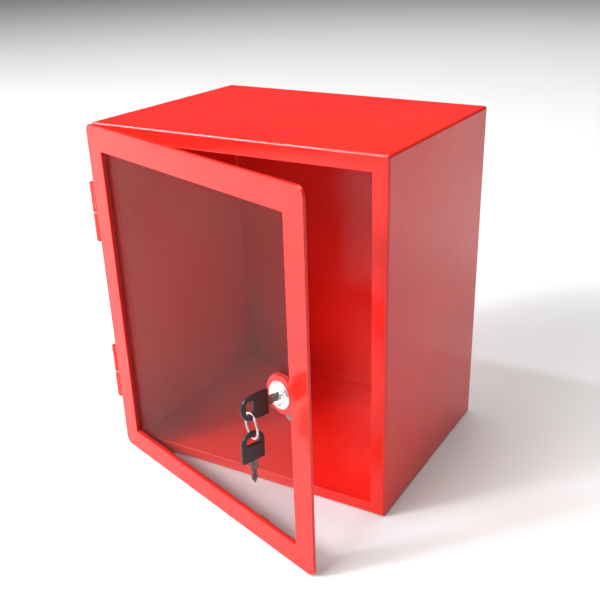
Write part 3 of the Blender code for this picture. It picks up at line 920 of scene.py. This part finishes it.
def blade_loop(y):
    """Section of the blade: a milled groove in each face and broken corners."""
    edge = blade_edge(y)
    loop = []
    for face in (1, -1):
        for j in range(BLADE_COLUMNS):
            z = edge * (2 * j / (BLADE_COLUMNS - 1) - 1) * face
            groove = BLADE_GROOVE * (1 - eased(abs(z - face * BLADE_GROOVE_PLACE), 0.00045, 0.0007))
            if y < 0.0005:
                groove = 0.0
            corner = BLADE_CORNER * eased(abs(z), edge - 0.0004, edge)
            loop.append(Vector((face * (BLADE_THICK / 2 - groove - corner), y, z)))
    return loop


def make_blade(name, place, body, replaced, looks):
    """Blade with a milled groove in each face, small cuts along both edges and broken corners."""
    start = BLADE_SIDE[0][0]
    end = BLADE_SIDE[-1][0]
    verts = []
    for i in range(BLADE_ROWS):
        y = start + (end - start) * i / (BLADE_ROWS - 1)
        verts += [place @ v for v in blade_loop(y)]
    blade = add_mesh(name, verts, capped(BLADE_ROWS, 2 * BLADE_COLUMNS), looks["key_nickel"])
    attach(blade, body, "key_nickel", replaced)


def make_keys(frame, looks):
    """Both keys, each placed from its own CAD bow; the key in the lock also along its pull joint."""
    pull = Vector(joint(frame, "key_pull")["axis"]).normalized()
    up = Vector((0, 0, 1))
    low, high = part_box("key_bow")
    middle = (low + high) / 2
    flat_end = farthest(frame, "key_bow", -pull)
    corner = middle - pull * (flat_end - middle).dot(-pull)
    place = key_frame(-pull, pull.cross(up), corner)
    make_bow("key_bow_moulded", place, "key", "key_bow", looks)
    make_blade("key_blade_milled", place, "key", "key_blade", looks)

    low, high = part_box("spare_key_bow")
    middle = (low + high) / 2
    corner = Vector((middle.x, middle.y, low.z))
    place = key_frame(-up, thin_direction(frame, "spare_key_bow"), corner)
    make_bow("spare_key_bow_moulded", place, "spare_key", "spare_key_bow", looks)
    make_blade("spare_key_blade_milled", place, "spare_key", "spare_key_blade", looks)


def farthest(frame, node, direction):
    """The node's point that lies furthest in a direction."""
    points = [v.co for v in frame["nodes"][node].data.vertices]
    return max(points, key=lambda p: p.dot(direction)).copy()


def thin_direction(frame, node):
    """Level direction in which a node is thinnest."""
    points = [v.co for v in frame["nodes"][node].data.vertices]
    best = None
    for degrees in range(0, 180, 1):
        angle = math.radians(degrees)
        level = Vector((math.cos(angle), math.sin(angle), 0))
        spread = [p.dot(level) for p in points]
        width = max(spread) - min(spread)
        if best is None or width < best[0]:
            best = (width, level)
    return best[1]


# ---- stage ----
def make_floor():
    corners = [(-1, -1), (1, -1), (1, 1), (-1, 1)]
    verts = [(x * FLOOR_HALF, y * FLOOR_HALF, -FLOOR_DROP) for x, y in corners]
    floor = add_mesh("floor", verts, [(0, 1, 2, 3)], floor_paper(), smooth=False)


def add_light(name, place, target, size, power, colour):
    """A soft rectangle of light that the camera doesn't see."""
    data = bpy.data.lights.new(name, "AREA")
    data.shape = "RECTANGLE"
    data.size = size[0]
    data.size_y = size[1]
    data.energy = power
    data.color = colour
    lamp = bpy.data.objects.new(name, data)
    bpy.context.scene.collection.objects.link(lamp)
    lamp.location = place
    lamp.rotation_euler = (Vector(target) - Vector(place)).to_track_quat("-Z", "Y").to_euler()
    lamp.visible_camera = False


def make_lights():
    add_light("key_softbox", (-1.68, -2.88, 2.38), LIGHT_TARGET, (3.2, 1.4), 215.0, WARM)
    add_light("top_softbox", (0.0, 1.8, 4.5), (0.0, 1.8, 0.0), (5.0, 5.0), 250.0, WARM)
    add_light("edge_strip", (-1.98, -2.34, 2.05), LIGHT_TARGET, (0.5, 0.8), 85.0, COLD)
    add_light("line_strip", (-1.75, -0.76, 2.76), (-1.75, -0.40, 0.0), (2.6, 0.16), 40.0, COLD)


def make_world():
    """One dim even colour. Above the floor's horizon it shows as dark grey."""
    world = bpy.data.worlds.new("studio")
    bpy.context.scene.world = world
    world.use_nodes = True
    background = world.node_tree.nodes["Background"]
    background.inputs["Color"].default_value = (1.0, 1.0, 1.0, 1.0)
    background.inputs["Strength"].default_value = WORLD_STRENGTH


def make_camera():
    data = bpy.data.cameras.new("camera")
    data.lens = CAMERA_LENS
    data.shift_x, data.shift_y = CAMERA_SHIFT
    data.clip_start = 0.01
    camera = bpy.data.objects.new("camera", data)
    bpy.context.scene.collection.objects.link(camera)
    back = Vector(
        (
            math.sin(CAMERA_AZIMUTH) * math.cos(CAMERA_ELEVATION),
            -math.cos(CAMERA_AZIMUTH) * math.cos(CAMERA_ELEVATION),
            math.sin(CAMERA_ELEVATION),
        )
    )
    right = Vector((0, 0, 1)).cross(back).normalized()
    up = back.cross(right)
    axes = Matrix((right, up, back)).transposed()
    turn = Matrix.Rotation(CAMERA_ROLL, 3, "Z")
    camera.matrix_world = Matrix.Translation(CAMERA_PLACE) @ (axes @ turn).to_4x4()
    bpy.context.scene.camera = camera


def set_tone():
    view = bpy.context.scene.view_settings
    view.view_transform = "Standard"
    view.look = "None"
    view.exposure = 0.0
    view.gamma = 1.0


with open("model.json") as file:
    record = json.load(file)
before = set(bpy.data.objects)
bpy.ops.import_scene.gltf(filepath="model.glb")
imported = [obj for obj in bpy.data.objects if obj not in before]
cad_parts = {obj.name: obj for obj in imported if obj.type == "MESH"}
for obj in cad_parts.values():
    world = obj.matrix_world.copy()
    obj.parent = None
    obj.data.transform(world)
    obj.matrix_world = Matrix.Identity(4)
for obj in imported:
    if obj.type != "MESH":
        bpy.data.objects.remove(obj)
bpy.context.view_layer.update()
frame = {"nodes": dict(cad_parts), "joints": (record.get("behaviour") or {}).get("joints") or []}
looks = make_looks()
dress_nodes(frame["nodes"], looks)
door_place = hinge_frame(frame)
lock_place = lock_frame(frame, door_place)
make_hinge_welds(frame, door_place, looks)
make_tab_welds(frame, door_place, looks)
make_seal(frame, door_place, looks)
make_collar(lock_place, looks)
make_nut(frame, lock_place, looks)
make_ring(frame, looks)
make_keys(frame, looks)
make_floor()
make_lights()
make_world()
make_camera()
set_tone()
